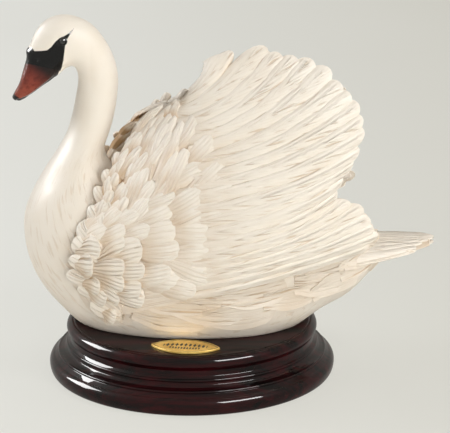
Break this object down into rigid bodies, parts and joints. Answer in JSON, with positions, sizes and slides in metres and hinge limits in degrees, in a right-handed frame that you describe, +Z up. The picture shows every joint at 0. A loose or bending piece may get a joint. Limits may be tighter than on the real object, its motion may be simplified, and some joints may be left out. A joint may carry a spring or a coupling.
{
  "type": "swan figurine",
  "caption": "Ivory swan figurine with arched feathered wings, screwed on a round moulded lacquered wooden plinth with a small bare brass plate.",
  "frame": {"origin": "centre of the round felt pad that the figurine stands on", "axes": "+Z up, the swan faces -X, its left wing faces -Y and its tail points to +X"},
  "size_m": [0.2697, 0.185, 0.2323],
  "materials": {
    "resin": "satin ivory cast resin with carved feathers",
    "lacquered_wood": "dark red-brown high gloss lacquer",
    "plaque_brass": "polished",
    "felt": "matt felt",
    "steel": "zinc plated"
  },
  "bodies": {
    "root": {"swan": "resin", "plinth": "lacquered_wood", "plaque": "plaque_brass", "felt_pad": "felt", "screw_front": "steel", "screw_rear": "steel", "washer_front": "steel", "washer_rear": "steel"}
  },
  "joints": []
}
